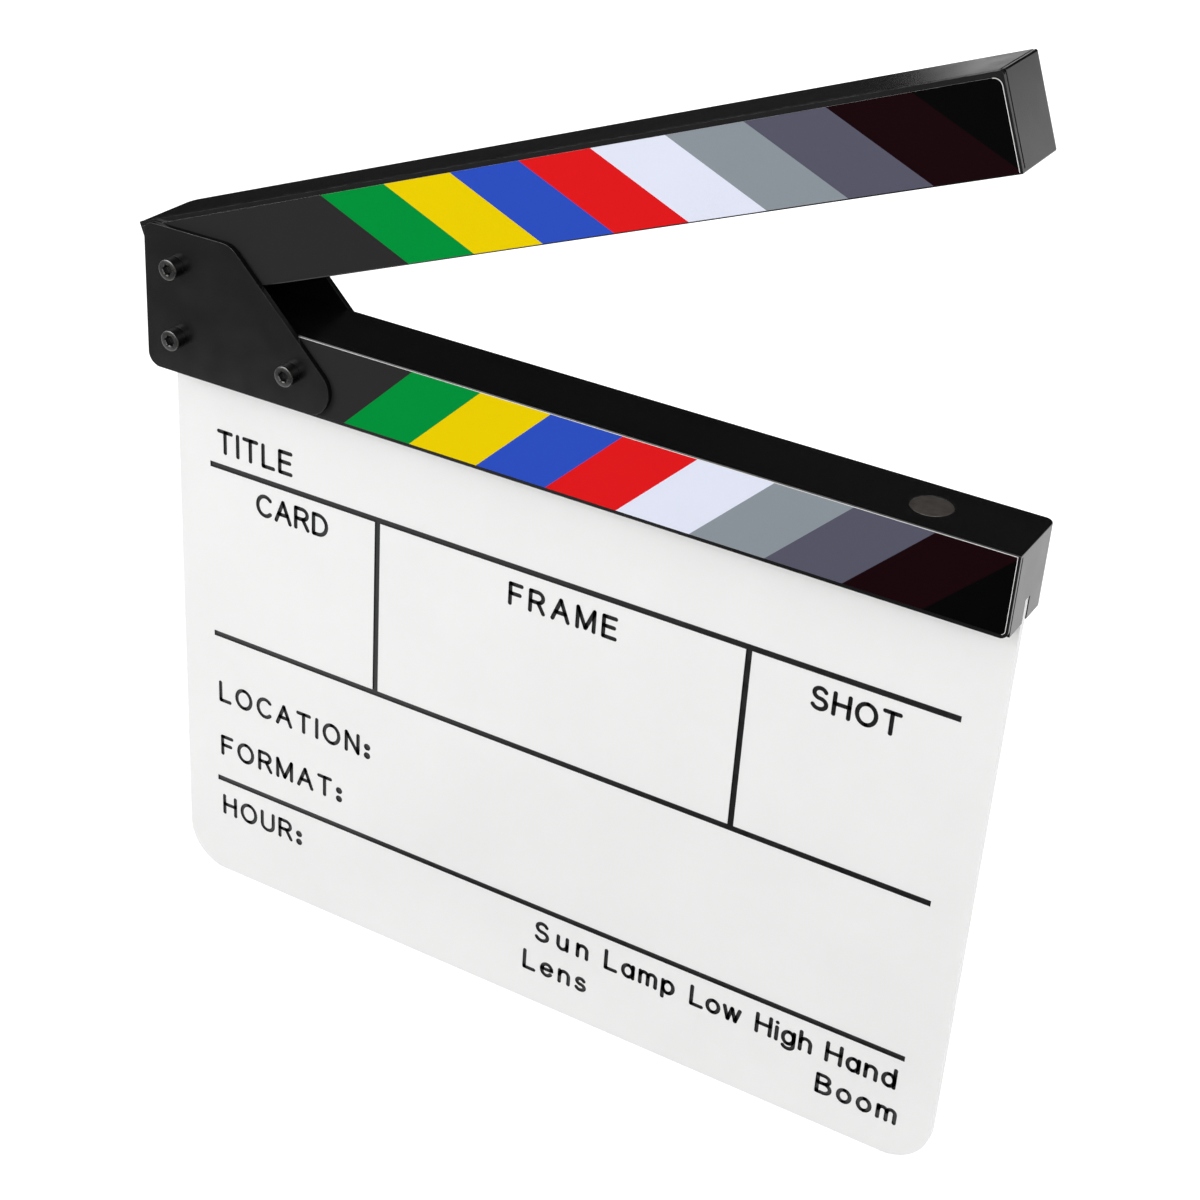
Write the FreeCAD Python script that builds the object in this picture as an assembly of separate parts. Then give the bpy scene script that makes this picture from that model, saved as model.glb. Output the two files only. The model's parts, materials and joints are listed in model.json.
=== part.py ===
import FreeCAD, Part
import math
import os

# A clapperboard: an acrylic slate held in a folded lower stick, and an upper stick that swings on a
# screw between two hinge plates. Millimetres, X to the right, Y away from the reader, Z up.
# The origin is the middle of the slate's lower edge. The upper stick is drawn shut, then swung open.

# Acrylic board
board_width = 300.0
board_drop = 205.2             # how far the board hangs below the lower stick
board_thickness = 3.0
board_corner_radius = 16.0
board_shoulder = 7.5           # how far the full width reaches up into the lower stick
board_tongue = 18.0            # how far the part between the end flaps reaches up
tongue_clearance = 0.6         # from the tongue's end to the end flap

# Ruled lines engraved in the board's front face
rule_width = 2.1
rule_depth = 0.4
rule_inset = 12.8              # from each side of the board
rule_shift = 0.4               # the whole pattern, to the right of the board's middle
top_rule_drop = 36.6           # each drop is below the lower stick
middle_rule_drop = 103.2
bottom_rule_drop = 164.7
bar_spacing = 136.6            # between the two upright bars

# Folded sheet of the two sticks
lower_height = 26.5
upper_height = 26.5
stick_depth = 26.7
stick_offset = 0.35            # middle of the sticks behind the middle of the board
stick_overhang = 0.3           # lower stick past each side of the board
free_end_setback = 1.5         # upper stick's free end behind the lower stick's
sheet = 1.2
edge_radius = 0.5              # outside of a tight fold
lower_corner_radius = 2.4      # cut corners of the lower stick's front wall
upper_corner_radius = 1.2      # cut corner of the upper stick's front wall
seam = 0.7                     # between two edges that meet without a fold
notch_clearance = 0.15         # board in the end flap's notch
flap_bend_radius = 2.8         # outside of the bend from the rear wall into an end flap
end_bend_radius = 3.5          # the same at the upper stick's hinge end

# Hinge
pivot_inset = 12.3             # from the left end of the lower stick
pivot_rise = 11.6              # above the lower stick's top
clap_gap = 0.7                 # between the sticks when shut
hinge_end_reach = 11.1         # upper stick, from the pivot to its hinge end
swing_clearance = 0.4          # rounded heel of the upper stick over the lower stick
open_angle = 20.85             # degrees
side_gap = 0.32                # upper stick to each hinge plate

# Hinge plates
plate_thickness = 2.0
plate_height = 49.5
plate_top_width = 34.5
plate_foot_width = 84.8        # to the sharp tip, before it is rounded
plate_lift = 1.25              # plate's lower edge above the stick's lower edge
plate_shoulder_radius = 8.0    # at the upper end of the slanted edge
plate_tip_radius = 8.6         # at its lower end
plate_foot_radius = 4.6
plate_head_radius = 3.6

# Stripe labels stuck to the front of the sticks
label_thickness = 0.15
lower_label_strip = 1.3        # bare sheet along the stick's cut edge
upper_label_strip = 1.5
label_end_margin = 0.8
lower_label_radius = 1.4       # corners towards the cut edge
upper_label_radius = 2.4
label_pivot_margin = 0.8       # round the thrust washer

# Screws, nuts and washers
screw_diameter = 4.0
screw_clearance = 0.15
thread_clearance = 0.05
screw_tip = 1.0                # past the nut
head_diameter = 7.0
head_height = 4.0
head_chamfer = 0.4
socket_flats = 3.0
socket_depth = 2.2
nut_flats = 7.0
nut_height = 5.0
nut_collar_height = 1.6        # round top of the locking nut
washer_diameter = 9.0
washer_thickness = 0.8

# Places of the two fixing screws
near_fixing_inset = 12.3       # from the left end of the lower stick
far_fixing_inset = 57.8
fixing_height = 13.8           # above the stick's lower edge

# Pivot bush, thrust washers and board spacers
bush_diameter = 6.0
running_clearance = 0.05
thrust_diameter = 10.0
thrust_clearance = 0.03
spacer_flats = 8.0

# Closing magnets, flush with the faces that clap
magnet_diameter = 12.7
magnet_thickness = 3.0
magnet_inset = 31.7            # from the right end of the lower stick
magnet_clearance = 0.15
cup_wall = 2.0
cup_floor = 1.0

# Every cut runs this far past the face that it opens
overrun = 1.0
# Two points this close are one point
touching = 1e-6

# Places worked out from the sizes above
board_left = -board_width / 2
board_right = board_width / 2
left = board_left - stick_overhang
right = board_right + stick_overhang
lower_bottom = board_drop
lower_top = lower_bottom + lower_height
lower_front = stick_offset - stick_depth / 2
lower_rear = stick_offset + stick_depth / 2

front_plate_inner = lower_front - label_thickness
front_plate_outer = front_plate_inner - plate_thickness
rear_plate_inner = lower_rear
rear_plate_outer = rear_plate_inner + plate_thickness

pivot_x = left + pivot_inset
pivot_z = lower_top + pivot_rise
fixing_z = lower_bottom + fixing_height
fixing_places = [left + near_fixing_inset, left + far_fixing_inset]

upper_left = pivot_x - hinge_end_reach
upper_right = right - free_end_setback
upper_bottom = lower_top + clap_gap
upper_top = upper_bottom + upper_height
upper_front = front_plate_inner + side_gap
upper_rear = rear_plate_inner - side_gap

magnet_x = right - magnet_inset
heel_radius = pivot_rise - swing_clearance
screw_hole_radius = screw_diameter / 2 + screw_clearance
pivot_hole_radius = bush_diameter / 2 + running_clearance

along_x = FreeCAD.Vector(1, 0, 0)
along_y = FreeCAD.Vector(0, 1, 0)
along_z = FreeCAD.Vector(0, 0, 1)


# Shape helpers

def in_plan(x, y):
    """A point of an outline drawn on the ground."""
    return FreeCAD.Vector(x, y, 0)


def in_front(x, z):
    """A point of an outline drawn on the front."""
    return FreeCAD.Vector(x, 0, z)


def rounded_face(corners, place):
    """Face through corners given as (across, up, radius), each one rounded by its radius."""
    points = [place(across, up) for across, up, radius in corners]
    starts = []
    ends = []
    arcs = []
    for index, point in enumerate(points):
        radius = corners[index][2]
        back = (points[index - 1] - point).normalize()
        onward = (points[(index + 1) % len(points)] - point).normalize()
        half_angle = back.getAngle(onward) / 2
        reach = radius / math.tan(half_angle)
        start = point + back * reach
        end = point + onward * reach
        starts.append(start)
        ends.append(end)
        arc = None
        if radius > 0:
            inward = (back + onward).normalize()
            middle = point + inward * (radius / math.sin(half_angle) - radius)
            arc = Part.Arc(start, middle, end).toShape()
        arcs.append(arc)
    edges = []
    for index, arc in enumerate(arcs):
        if arc is not None:
            edges.append(arc)
        following = starts[(index + 1) % len(points)]
        if not ends[index].isEqual(following, touching):
            edges.append(Part.makeLine(ends[index], following))
    return Part.Face(Part.Wire(edges))


def upright_prism(corners, low, high):
    """Plan outline raised from low to high."""
    face = rounded_face(corners, in_plan)
    face.translate(along_z * low)
    return face.extrude(along_z * (high - low))


def front_prism(corners, near, far):
    """Front outline taken from near to far."""
    face = rounded_face(corners, in_front)
    face.translate(along_y * near)
    return face.extrude(along_y * (far - near))


def block(x_pair, y_pair, z_pair):
    """Box between three pairs of places."""
    low = FreeCAD.Vector(x_pair[0], y_pair[0], z_pair[0])
    return Part.makeBox(x_pair[1] - x_pair[0], y_pair[1] - y_pair[0], z_pair[1] - z_pair[0], low)


def rod(x, z, radius, near, far):
    """Round bar along the depth."""
    return Part.makeCylinder(radius, far - near, FreeCAD.Vector(x, near, z), along_y)


def tube(x, z, outer_radius, inner_radius, near, far):
    """Round tube along the depth."""
    return rod(x, z, outer_radius, near, far).cut(rod(x, z, inner_radius, near - overrun, far + overrun))


def disc(x, y, radius, low, high):
    """Upright round disc."""
    return Part.makeCylinder(radius, high - low, FreeCAD.Vector(x, y, low), along_z)


def hexagon_bar(x, z, flats, near, far):
    """Six-sided bar along the depth."""
    radius = flats / math.sqrt(3)
    corners = []
    for index in range(6):
        angle = math.pi * index / 3
        corners.append((x + radius * math.cos(angle), z + radius * math.sin(angle), 0))
    return front_prism(corners, near, far)


def fold_edges(shape, wanted):
    """Edges of a shape whose middle passes the test."""
    return [edge for edge in shape.Edges if wanted(edge.CenterOfMass)]


def near_to(value, place):
    """Whether a coordinate lies on a place."""
    return abs(value - place) < seam / 2


def opened(shape):
    """The shape swung about the pivot from shut to the open rest."""
    swung = shape.copy()
    swung.rotate(FreeCAD.Vector(pivot_x, 0, pivot_z), along_y, -open_angle)
    return swung


# Board

def groove(x_pair, z_pair):
    """Cutter for one engraved line."""
    face = -board_thickness / 2
    return block(x_pair, (face - overrun, face + rule_depth), z_pair)


def make_board():
    """Board with rounded feet, stepped shoulders, engraved lines and two screw holes."""
    shoulder_top = lower_bottom + board_shoulder
    tongue_top = lower_bottom + board_tongue
    tongue_left = left + sheet + tongue_clearance
    tongue_right = right - sheet - tongue_clearance
    outline = [
        (board_left, 0, board_corner_radius),
        (board_right, 0, board_corner_radius),
        (board_right, shoulder_top, 0),
        (tongue_right, shoulder_top, 0),
        (tongue_right, tongue_top, 0),
        (tongue_left, tongue_top, 0),
        (tongue_left, shoulder_top, 0),
        (board_left, shoulder_top, 0),
    ]
    board = front_prism(outline, -board_thickness / 2, board_thickness / 2)
    half_rule = rule_width / 2
    rule_span = (board_left + rule_inset + rule_shift, board_right - rule_inset + rule_shift)
    cutters = []
    for drop in (top_rule_drop, middle_rule_drop, bottom_rule_drop):
        height = lower_bottom - drop
        cutters.append(groove(rule_span, (height - half_rule, height + half_rule)))
    bar_span = (lower_bottom - middle_rule_drop, lower_bottom - top_rule_drop)
    for bar_x in (rule_shift - bar_spacing / 2, rule_shift + bar_spacing / 2):
        cutters.append(groove((bar_x - half_rule, bar_x + half_rule), bar_span))
    for place in fixing_places:
        cutters.append(rod(place, fixing_z, screw_hole_radius, -board_thickness, board_thickness))
    return board.cut(cutters)


# Sticks

def flat_sheet(ends, near, far, bends, heights):
    """Level sheet whose two rear corners follow the bends of the wall there."""
    return upright_prism([
        (ends[0], near, 0),
        (ends[1], near, 0),
        (ends[1], far, bends[1]),
        (ends[0], far, bends[0]),
    ], heights[0], heights[1])


def bent_wall(ends, front, rear, bends, heights):
    """Rear wall bent round into a flap at each end. The flaps stop a seam short of the front wall."""
    flap_front = front + sheet + seam
    return upright_prism([
        (ends[0], flap_front, 0),
        (ends[0] + sheet, flap_front, 0),
        (ends[0] + sheet, rear - sheet, bends[0] - sheet),
        (ends[1] - sheet, rear - sheet, bends[1] - sheet),
        (ends[1] - sheet, flap_front, 0),
        (ends[1], flap_front, 0),
        (ends[1], rear, bends[1]),
        (ends[0], rear, bends[0]),
    ], heights[0], heights[1])


def make_lower_stick():
    """Channel open below: web, front wall, and a rear wall with end flaps that are notched for the board."""
    ends = (left, right)
    bends = (flap_bend_radius, flap_bend_radius)
    web = flat_sheet(ends, lower_front, lower_rear, bends, (lower_top - sheet, lower_top))
    wall = bent_wall(ends, lower_front, lower_rear, bends, (lower_bottom, lower_top))
    front_wall = front_prism([
        (left, lower_bottom, lower_corner_radius),
        (right, lower_bottom, lower_corner_radius),
        (right, lower_top, 0),
        (left, lower_top, 0),
    ], lower_front, lower_front + sheet)
    stick = web.fuse([wall, front_wall]).removeSplitter()

    def is_fold(middle):
        return near_to(middle.z, lower_top)

    stick = stick.makeFillet(edge_radius, fold_edges(stick, is_fold))
    slot = board_thickness / 2 + notch_clearance
    notch_top = lower_bottom + board_shoulder + notch_clearance
    cutters = [block((left - overrun, right + overrun), (-slot, slot), (lower_bottom - overrun, notch_top))]
    for place in fixing_places:
        cutters.append(rod(place, fixing_z, screw_hole_radius, lower_front - overrun, lower_rear + overrun))
    magnet_hole = magnet_diameter / 2 + magnet_clearance
    cutters.append(disc(magnet_x, 0, magnet_hole, lower_top - sheet - overrun, lower_top + overrun))
    return stick.cut(cutters)


def heel_cut():
    """What the upper stick's heel loses so that it turns over the lower stick without touching it."""
    corner = block((upper_left - overrun, pivot_x), (upper_front - overrun, upper_rear + overrun),
                   (upper_bottom - overrun, pivot_z))
    return corner.cut(rod(pivot_x, pivot_z, heel_radius, lower_front - overrun, lower_rear + overrun))


def heel_sheet(ends, bends):
    """Curved sheet that closes the heel between the web and the hinge end."""
    corner = flat_sheet((ends[0], pivot_x), upper_front, upper_rear, (bends[0], 0), (upper_bottom, pivot_z))
    curve = tube(pivot_x, pivot_z, heel_radius, heel_radius - sheet, lower_front - overrun, lower_rear + overrun)
    return corner.common(curve)


def make_upper_stick():
    """Box folded from one sheet: web below, front wall, rear wall with end flaps, and a lid from the rear wall."""
    ends = (upper_left, upper_right)
    bends = (end_bend_radius, flap_bend_radius)
    web = flat_sheet(ends, upper_front, upper_rear, bends, (upper_bottom, upper_bottom + sheet))
    wall = bent_wall(ends, upper_front, upper_rear, bends, (upper_bottom, upper_top))
    front_wall = front_prism([
        (upper_left, upper_bottom, 0),
        (upper_right, upper_bottom, 0),
        (upper_right, upper_top, upper_corner_radius),
        (upper_left, upper_top, 0),
    ], upper_front, upper_front + sheet)
    lid_front = upper_front + sheet + seam
    lid = flat_sheet(ends, lid_front, upper_rear, bends, (upper_top - sheet, upper_top))
    stick = web.fuse([wall, front_wall, lid]).cut(heel_cut())
    stick = stick.fuse(heel_sheet(ends, bends)).removeSplitter()

    def is_fold(middle):
        beyond_heel = middle.x > pivot_x
        on_web = near_to(middle.z, upper_bottom) and beyond_heel
        on_lid = near_to(middle.z, upper_top) and near_to(middle.y, upper_rear) and beyond_heel
        return on_web or on_lid

    stick = stick.makeFillet(edge_radius, fold_edges(stick, is_fold))
    flap_inside = upper_right - sheet
    lid_seam = block((flap_inside - seam, flap_inside), (lid_front - seam / 2, upper_rear + overrun),
                     (upper_top - sheet, upper_top + overrun))
    pivot_hole = rod(pivot_x, pivot_z, pivot_hole_radius, upper_front - overrun, upper_rear + overrun)
    magnet_hole = disc(magnet_x, 0, magnet_diameter / 2 + magnet_clearance,
                       upper_bottom - overrun, upper_bottom + sheet + overrun)
    return opened(stick.cut([lid_seam, pivot_hole, magnet_hole]))


# Labels

def make_lower_label():
    """Label on the lower stick, up to the fold above and clear of the cut edge below."""
    low = lower_bottom + lower_label_strip
    high = lower_top - edge_radius
    outline = [
        (left + label_end_margin, low, lower_label_radius),
        (right - label_end_margin, low, lower_label_radius),
        (right - label_end_margin, high, 0),
        (left + label_end_margin, high, 0),
    ]
    label = front_prism(outline, lower_front - label_thickness, lower_front)
    holes = [rod(place, fixing_z, screw_hole_radius, front_plate_inner - overrun, lower_front + overrun)
             for place in fixing_places]
    return label.cut(holes)


def make_upper_label():
    """Label on the upper stick, with a round window for the thrust washer and the heel cut away."""
    low = upper_bottom + edge_radius
    high = upper_top - upper_label_strip
    outline = [
        (upper_left + label_end_margin, low, 0),
        (upper_right - label_end_margin, low, 0),
        (upper_right - label_end_margin, high, upper_label_radius),
        (upper_left + label_end_margin, high, 0),
    ]
    label = front_prism(outline, upper_front - label_thickness, upper_front)
    window = rod(pivot_x, pivot_z, thrust_diameter / 2 + label_pivot_margin, upper_front - overrun, upper_front)
    return opened(label.cut([window, heel_cut()]))


# Hinge

def make_hinge_plate(near, far):
    """Hinge plate with a slanted edge, rounded corners and three screw holes."""
    low = lower_bottom + plate_lift
    high = low + plate_height
    plate = front_prism([
        (left, low, plate_foot_radius),
        (left + plate_foot_width, low, plate_tip_radius),
        (left + plate_top_width, high, plate_shoulder_radius),
        (left, high, plate_head_radius),
    ], near, far)
    places = [(pivot_x, pivot_z)] + [(place, fixing_z) for place in fixing_places]
    holes = [rod(x, z, screw_hole_radius, near - overrun, far + overrun) for x, z in places]
    return plate.cut(holes)


def make_screw(x, z):
    """Socket-head screw from the front plate to just past its nut."""
    head_face = front_plate_outer - head_height
    tip = rear_plate_outer + washer_thickness + nut_height + screw_tip
    head = rod(x, z, head_diameter / 2, head_face, front_plate_outer)

    def is_rim(middle):
        return near_to(middle.y, head_face)

    head = head.makeChamfer(head_chamfer, fold_edges(head, is_rim))
    socket = hexagon_bar(x, z, socket_flats, head_face - overrun, head_face + socket_depth)
    shank = rod(x, z, screw_diameter / 2, front_plate_outer, tip)
    return head.cut(socket).fuse(shank).removeSplitter()


def make_nut(x, z):
    """Locking nut: a hexagon with a round collar."""
    start = rear_plate_outer + washer_thickness
    collar_start = start + nut_height - nut_collar_height
    hexagon = hexagon_bar(x, z, nut_flats, start, collar_start)
    collar = rod(x, z, nut_flats / 2, collar_start, start + nut_height)
    bore = rod(x, z, screw_diameter / 2 + thread_clearance, start - overrun, start + nut_height + overrun)
    return hexagon.fuse(collar).cut(bore)


def make_washer(x, z):
    """Flat washer under a nut."""
    return tube(x, z, washer_diameter / 2, screw_hole_radius, rear_plate_outer, rear_plate_outer + washer_thickness)


def make_pivot_bush():
    """Sleeve clamped between the plates, on which the upper stick turns."""
    return tube(pivot_x, pivot_z, bush_diameter / 2, screw_hole_radius, front_plate_inner, rear_plate_inner)


def make_thrust_washer(near):
    """Thin washer between the upper stick and a plate."""
    far = near + side_gap - thrust_clearance * 2
    return tube(pivot_x, pivot_z, thrust_diameter / 2, pivot_hole_radius, near, far)


def make_spacer(place, near, far):
    """Six-sided spacer between the stick's wall and the board."""
    body = hexagon_bar(place, fixing_z, spacer_flats, near, far)
    return body.cut(rod(place, fixing_z, screw_hole_radius, near - overrun, far + overrun))


# Magnets

def make_magnet(low):
    """Round magnet."""
    return disc(magnet_x, 0, magnet_diameter / 2, low, low + magnet_thickness)


def make_magnet_cup(web_face, upward):
    """Square cup glued to the inside of the web, with a round pocket for the magnet."""
    depth = magnet_thickness - sheet
    hole = magnet_diameter / 2 + magnet_clearance
    side = hole + cup_wall
    if upward:
        heights = (web_face, web_face + depth + cup_floor)
        pocket = disc(magnet_x, 0, hole, web_face - overrun, web_face + depth)
    else:
        heights = (web_face - depth - cup_floor, web_face)
        pocket = disc(magnet_x, 0, hole, web_face - depth, web_face + overrun)
    return block((magnet_x - side, magnet_x + side), (-side, side), heights).cut(pocket)


# Whole object

def group(shapes):
    """Identical pieces kept as separate solids under one name."""
    return Part.makeCompound(shapes)


def make_parts():
    """Every piece by name."""
    board_face = board_thickness / 2
    front_wall_inside = lower_front + sheet
    rear_wall_inside = lower_rear - sheet
    return {
        "board": make_board(),
        "lower_stick": make_lower_stick(),
        "upper_stick": make_upper_stick(),
        "lower_label": make_lower_label(),
        "upper_label": make_upper_label(),
        "front_hinge_plate": make_hinge_plate(front_plate_outer, front_plate_inner),
        "rear_hinge_plate": make_hinge_plate(rear_plate_inner, rear_plate_outer),
        "pivot_screw": make_screw(pivot_x, pivot_z),
        "pivot_bush": make_pivot_bush(),
        "pivot_washer": make_washer(pivot_x, pivot_z),
        "pivot_nut": make_nut(pivot_x, pivot_z),
        "front_thrust_washer": make_thrust_washer(front_plate_inner + thrust_clearance),
        "rear_thrust_washer": make_thrust_washer(upper_rear + thrust_clearance),
        "fixing_screws": group([make_screw(place, fixing_z) for place in fixing_places]),
        "fixing_washers": group([make_washer(place, fixing_z) for place in fixing_places]),
        "fixing_nuts": group([make_nut(place, fixing_z) for place in fixing_places]),
        "front_spacers": group([make_spacer(place, front_wall_inside, -board_face) for place in fixing_places]),
        "rear_spacers": group([make_spacer(place, board_face, rear_wall_inside) for place in fixing_places]),
        "lower_magnet": make_magnet(lower_top - magnet_thickness),
        "upper_magnet": opened(make_magnet(upper_bottom)),
        "lower_magnet_cup": make_magnet_cup(lower_top - sheet, False),
        "upper_magnet_cup": opened(make_magnet_cup(upper_bottom + sheet, True)),
    }


os.makedirs("parts", exist_ok=True)
for name, shape in make_parts().items():
    shape.exportStep("parts/" + name + ".step")
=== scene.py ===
import bmesh
import bpy
import json
import math
from mathutils import Matrix, Vector

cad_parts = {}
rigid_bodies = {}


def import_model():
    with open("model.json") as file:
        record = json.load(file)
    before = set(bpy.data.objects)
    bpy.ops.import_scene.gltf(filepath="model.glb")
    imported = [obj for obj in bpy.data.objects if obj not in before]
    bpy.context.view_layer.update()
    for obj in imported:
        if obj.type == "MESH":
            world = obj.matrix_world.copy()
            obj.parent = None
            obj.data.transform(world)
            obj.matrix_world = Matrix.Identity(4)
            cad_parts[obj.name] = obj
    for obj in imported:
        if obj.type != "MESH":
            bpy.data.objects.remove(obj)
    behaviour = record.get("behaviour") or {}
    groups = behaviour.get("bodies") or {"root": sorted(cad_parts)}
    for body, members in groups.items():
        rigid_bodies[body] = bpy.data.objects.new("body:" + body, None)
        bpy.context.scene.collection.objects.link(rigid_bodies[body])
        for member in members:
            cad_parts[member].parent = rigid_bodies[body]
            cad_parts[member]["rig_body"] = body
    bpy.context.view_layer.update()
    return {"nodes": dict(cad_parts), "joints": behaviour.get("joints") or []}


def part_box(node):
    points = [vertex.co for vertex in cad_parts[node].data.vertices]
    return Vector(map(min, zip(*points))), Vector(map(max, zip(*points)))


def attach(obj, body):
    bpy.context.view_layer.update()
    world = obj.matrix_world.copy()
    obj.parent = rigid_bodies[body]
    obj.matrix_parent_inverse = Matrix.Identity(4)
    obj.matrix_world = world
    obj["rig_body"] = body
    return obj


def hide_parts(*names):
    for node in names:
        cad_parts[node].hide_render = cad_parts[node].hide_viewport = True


# The looks of a clapperboard: a milky acrylic board with engraved, black-filled lines and words,
# powder-coated sticks and hinge plates, printed stripe labels and black socket screws.
# Lengths are in metres, in the frame of the CAD.

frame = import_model()

mm = 0.001

# Places read from the frame
board_low, board_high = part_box("board")
stick_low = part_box("lower_stick")[0]
front_plate_low, front_plate_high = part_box("front_hinge_plate")
fixing_low, fixing_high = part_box("fixing_screws")
hinge = frame["joints"][0]
pivot = Vector(hinge["pos_m"])
open_angle = -math.radians(hinge["range_deg"][0])

# Edges and smoothing
touching = 0.001 * mm
flat_angle = math.radians(0.3)
sharp_angle = math.radians(32)
half_facing = 0.5                  # least share of a normal on a face that looks to one side
squarely_facing = 0.99
sheet_edge_round = 0.14 * mm
plate_edge_round = 0.3 * mm
acrylic_edge_round = 0.3 * mm
magnet_edge_round = 0.24 * mm
small_edge_round = 0.08 * mm

# Lighter edges, partly wear and partly painted highlight: cosine of the turn at which the mark is full, and
# at which there is none
full_edge_mark_turn = 0.75
no_edge_mark_turn = 0.98
edge_mark_samples = 6

# Screws
head_radius = 3.5 * mm
head_round = 0.35 * mm
head_round_along = head_round / 3  # middle point of the head's rounded edge
head_round_in = head_round / 4
head_foot_chamfer = head_round / 4
knurl_margin = head_round * 1.5    # plain run at each end of the knurl
knurl_depth = 0.12 * mm
knurl_ribs = 36
socket_flats = 3.3 * mm
socket_depth = 2.2 * mm
socket_lead = 0.12 * mm
socket_lead_depth = 0.24 * mm
shank_radius = 2.0 * mm
thread_pitch = 0.7 * mm
thread_depth = 0.3 * mm
threads_shown = 4
tip_chamfer = 0.3 * mm
turned_sides = 72

# Nuts
nut_flats = 7.0 * mm
nut_corner = 3.8 * mm              # turned-off corners of the hexagon
nut_chamfer = 0.3 * mm
collar_height = 1.6 * mm
collar_round = 0.4 * mm
collar_round_along = collar_round / 4
collar_round_in = collar_round / 3
insert_radius = 2.75 * mm          # nylon ring in the collar
insert_sink = 0.25 * mm
bore_radius = 2.05 * mm

# Engraving in the board
rule_depth = 0.4 * mm
letter_stroke = 1.45 * mm
letter_width_share = 1.1
colon_dot = 2.7 * mm
stroke_step = math.radians(15)

# Words on the board, in millimetres: text, where it starts and ends across from the board's left side,
# how far its foot is below the lower stick, and the height of its capitals
words = [
    ("TITLE", 17.1, 47.0, 30.9, 7.6),
    ("CARD", 33.1, 61.6, 49.6, 7.3),
    ("FRAME", 133.8, 172.6, 50.1, 7.2),
    ("SHOT", 241.0, 269.2, 49.4, 7.2),
    ("LOCATION:", 15.3, 79.8, 130.6, 7.3),
    ("FORMAT:", 15.6, 68.0, 153.5, 7.3),
    ("HOUR:", 15.9, 50.4, 179.5, 7.3),
    ("Sun", 150.8, 171.0, 177.7, 7.1),
    ("Lamp", 178.5, 204.5, 177.7, 7.1),
    ("Low", 211.5, 229.5, 177.7, 7.1),
    ("High", 236.0, 255.5, 177.7, 7.1),
    ("Hand", 261.5, 285.4, 177.7, 7.1),
    ("Lens", 146.7, 171.0, 191.7, 7.1),
    ("Boom", 259.6, 287.4, 191.7, 7.1),
]

# Stripes of the labels
lower_stripe_pitch = 24.75 * mm
upper_stripe_pitch = 24.61 * mm
stripe_overhang = 0.8 * mm         # last boundary past the label's right side
stripe_lean_share = 1.033          # run along the stick for each unit of height
label_rim = 0.15 * mm              # white cut edge beside the print
label_corner = 2.5 * mm            # reach of a label's rounded corners

# Camera
camera_lens = 68.32                # in millimetres, like the sensor's width
camera_sensor = 36.0
camera_place = (308.1 * mm, -545.4 * mm, 517.6 * mm)
camera_turn = (60.355, -3.540, 30.217)   # in degrees

# Floor and surroundings
floor_reach = 6.0
floor_tone = 0.5
floor_glow = 0.8
world_glow = 1.0
world_fill = 0.45

# Lamps: name, place, size, watts, and whether reflections show it
lamp_target = (0.0, 0.0, 0.2)
lamps = [
    ("key", (-0.9, -1.4, 0.75), 1.0, 15.0, True),
    ("side", (1.15, -1.35, 0.95), 1.0, 10.0, True),
    ("edge", (1.6, 0.3, 0.5), 0.8, 7.0, False),
    ("back", (-0.3, 1.7, 0.9), 1.0, 17.0, False),
]

# Cards round the object: where they end, and how light they are
card_reach = 4.0
card_top = 0.9
card_lift = 0.002                  # cards on the floor lie just above it
card_roughness = 0.9
ceiling_front = -0.5
back_wall = 3.2
back_wall_foot = 0.42
left_wall = 1.2
left_wall_end = -0.46
left_floor_front = 0.1
left_floor_end = -0.4
front_floor_back = -0.31
near_floor_end = 1.2
right_floor_start = -0.1
right_floor_back = -0.03
black_tone = 0.005
left_wall_tone = 0.025
front_floor_tone = 0.11
right_floor_tone = 0.1


def srgb(red, green, blue):
    """Linear colour from 8-bit screen values."""
    linear = []
    for value in (red, green, blue):
        share = value / 255
        linear.append(share / 12.92 if share <= 0.04045 else ((share + 0.055) / 1.055) ** 2.4)
    return tuple(linear)


# Stripe colours from the hinge to the free end
stripe_colours = [
    ("label_charcoal", srgb(43, 43, 43)),
    ("label_green", srgb(0, 143, 57)),
    ("label_yellow", srgb(234, 205, 0)),
    ("label_blue", srgb(44, 78, 189)),
    ("label_red", srgb(223, 25, 28)),
    ("label_white", srgb(225, 229, 245)),
    ("label_grey", srgb(139, 147, 154)),
    ("label_slate", srgb(86, 86, 102)),
    ("label_maroon", srgb(25, 6, 10)),
    ("label_black", srgb(5, 5, 5)),
]


# Materials

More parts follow.
